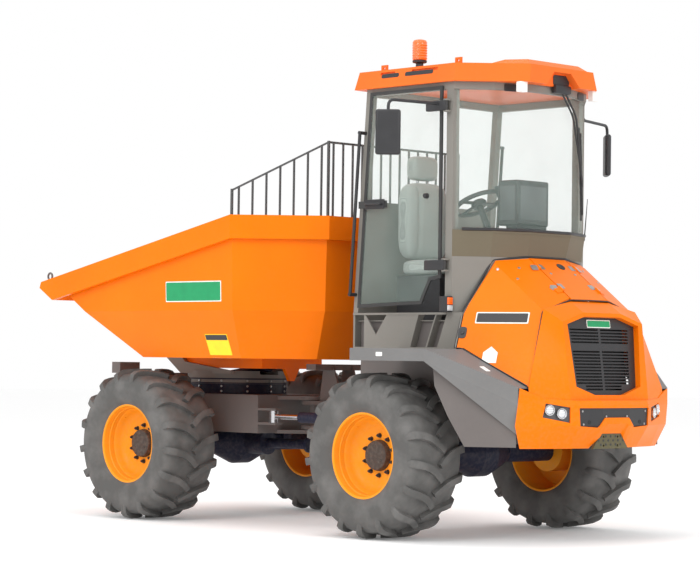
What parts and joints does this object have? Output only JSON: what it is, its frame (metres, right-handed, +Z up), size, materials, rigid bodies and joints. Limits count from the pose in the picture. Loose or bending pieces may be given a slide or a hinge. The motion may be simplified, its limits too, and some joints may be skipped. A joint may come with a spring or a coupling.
{
  "type": "site dumper",
  "caption": "Articulated site dumper with a slewing tip skip, glazed driver's cab, opening engine hood and large tractor-pattern tyres.",
  "frame": {"origin": "on the ground under the middle of the machine's length and width", "axes": "+X towards the skip's lip, +Y to the door side, +Z up"},
  "size_m": [4.874, 2.5006, 3.498],
  "materials": {
    "orange_paint": "gloss",
    "rim_paint": "gloss",
    "grey_paint": "satin",
    "dark_frame": "satin",
    "ring_steel": "satin",
    "rod_chrome": "polished",
    "tyre_rubber": "matte",
    "cab_glass": "clear",
    "black_plastic": "grained",
    "seat_cloth": "woven",
    "amber_lamp": "clear",
    "lamp_glass": "clear"
  },
  "bodies": {
    "rear_chassis": {"rear_frame": "dark_frame", "rear_axle": "ring_steel", "engine_block": "ring_steel", "decks": "grey_paint", "side_panels": "dark_frame", "bumper": "orange_paint", "bumper_insert": "black_plastic", "headlamps": "lamp_glass", "hitch_plate": "dark_frame", "grille_frame": "orange_paint", "grille": "black_plastic", "hood_top": "orange_paint", "cab_base": "grey_paint", "cab_frame": "grey_paint", "cowl": "grey_paint", "cab_glass": "cab_glass", "roof": "orange_paint", "beacon": "amber_lamp", "work_lights": "lamp_glass", "mirror_right": "black_plastic", "seat_base": "black_plastic", "seat_cushion": "seat_cloth", "seat_back": "seat_cloth", "console": "black_plastic", "grab_rails": "grey_paint"},
    "front_chassis": {"front_frame": "dark_frame", "front_axle": "ring_steel", "slew_ring_lower": "ring_steel", "front_lamps": "dark_frame"},
    "turntable": {"turntable": "grey_paint"},
    "skip": {"skip_shell": "orange_paint", "skip_underframe": "orange_paint", "skip_guard": "grey_paint"},
    "tip_barrel": {"tip_barrel": "ring_steel"},
    "tip_rod": {"tip_rod": "rod_chrome"},
    "steer_barrel_left": {"steer_barrel_left": "ring_steel"},
    "steer_rod_left": {"steer_rod_left": "rod_chrome"},
    "steer_barrel_right": {"steer_barrel_right": "ring_steel"},
    "steer_rod_right": {"steer_rod_right": "rod_chrome"},
    "door": {"door_frame": "grey_paint", "door_glass": "cab_glass", "mirror_left": "black_plastic"},
    "hood_side_left": {"hood_side_left": "orange_paint"},
    "hood_side_right": {"hood_side_right": "orange_paint"},
    "wheel_front_left": {"tyre_front_left": "tyre_rubber", "rim_front_left": "rim_paint"},
    "wheel_front_right": {"tyre_front_right": "tyre_rubber", "rim_front_right": "rim_paint"},
    "wheel_rear_left": {"tyre_rear_left": "tyre_rubber", "rim_rear_left": "rim_paint"},
    "wheel_rear_right": {"tyre_rear_right": "tyre_rubber", "rim_rear_right": "rim_paint"}
  },
  "joints": [
    {"name": "articulation", "type": "hinge", "parent": "rear_chassis", "child": "front_chassis", "pos_m": [0.527, 0, 0.8], "axis": [0, 0, 1], "range_deg": [-33, 33]},
    {"name": "skip_slew", "type": "hinge", "parent": "front_chassis", "child": "turntable", "pos_m": [1.427, 0, 1.028], "axis": [0, 0, 1], "range_deg": [-90, 90]},
    {"name": "skip_tip", "type": "hinge", "parent": "turntable", "child": "skip", "pos_m": [1.847, 0, 1.32], "axis": [0, 1, 0], "range_deg": [0, 50]},
    {"name": "tip_barrel_swing", "type": "hinge", "parent": "turntable", "child": "tip_barrel", "pos_m": [1.547, 0, 1.09], "axis": [0, 1, 0], "range_deg": [0, 56.9]},
    {"name": "tip_rod_slide", "type": "slide", "parent": "tip_barrel", "child": "tip_rod", "axis": [-0.9903, 0, 0.1393], "range_m": [0, 0.3082]},
    {"name": "steer_barrel_left_swing", "type": "hinge", "parent": "rear_chassis", "child": "steer_barrel_left", "pos_m": [-0.33, 0.376, 0.79], "axis": [0, 0, 1], "range_deg": [-1, 1]},
    {"name": "steer_rod_left_slide", "type": "slide", "parent": "steer_barrel_left", "child": "steer_rod_left", "axis": [0.998, 0.0629, 0], "range_m": [-0.2362, 0.2362]},
    {"name": "steer_barrel_right_swing", "type": "hinge", "parent": "rear_chassis", "child": "steer_barrel_right", "pos_m": [-0.33, -0.376, 0.79], "axis": [0, 0, 1], "range_deg": [-1, 1]},
    {"name": "steer_rod_right_slide", "type": "slide", "parent": "steer_barrel_right", "child": "steer_rod_right", "axis": [0.998, -0.0629, 0], "range_m": [-0.2362, 0.2362]},
    {"name": "door_hinge", "type": "hinge", "parent": "rear_chassis", "child": "door", "pos_m": [-1.491, 0.732, 2.4], "axis": [0, 0, 1], "range_deg": [0, 90]},
    {"name": "hood_left_hinge", "type": "hinge", "parent": "rear_chassis", "child": "hood_side_left", "pos_m": [-1.88, 0.195, 1.88721], "axis": [0.801, 0, 0.5987], "range_deg": [0, 70]},
    {"name": "hood_right_hinge", "type": "hinge", "parent": "rear_chassis", "child": "hood_side_right", "pos_m": [-1.88, -0.195, 1.88721], "axis": [-0.801, 0, -0.5987], "range_deg": [0, 70]},
    {"name": "wheel_front_left_spin", "type": "hinge", "parent": "front_chassis", "child": "wheel_front_left", "pos_m": [1.39, 0.934, 0.57], "axis": [0, 1, 0], "continuous": true},
    {"name": "wheel_front_right_spin", "type": "hinge", "parent": "front_chassis", "child": "wheel_front_right", "pos_m": [1.39, -0.934, 0.57], "axis": [0, 1, 0], "continuous": true},
    {"name": "wheel_rear_left_spin", "type": "hinge", "parent": "rear_chassis", "child": "wheel_rear_left", "pos_m": [-1.135, 0.934, 0.57], "axis": [0, 1, 0], "continuous": true},
    {"name": "wheel_rear_right_spin", "type": "hinge", "parent": "rear_chassis", "child": "wheel_rear_right", "pos_m": [-1.135, -0.934, 0.57], "axis": [0, 1, 0], "continuous": true}
  ],
  "couplings": [
    {"joint": "tip_barrel_swing", "follows": "skip_tip", "ratio": 1.1286},
    {"joint": "tip_rod_slide", "follows": "skip_tip", "m_per_rad": 0.35197},
    {"joint": "steer_barrel_left_swing", "follows": "articulation", "ratio": -0.00919},
    {"joint": "steer_rod_left_slide", "follows": "articulation", "m_per_rad": -0.40655},
    {"joint": "steer_barrel_right_swing", "follows": "articulation", "ratio": -0.00919},
    {"joint": "steer_rod_right_slide", "follows": "articulation", "m_per_rad": 0.40655}
  ]
}
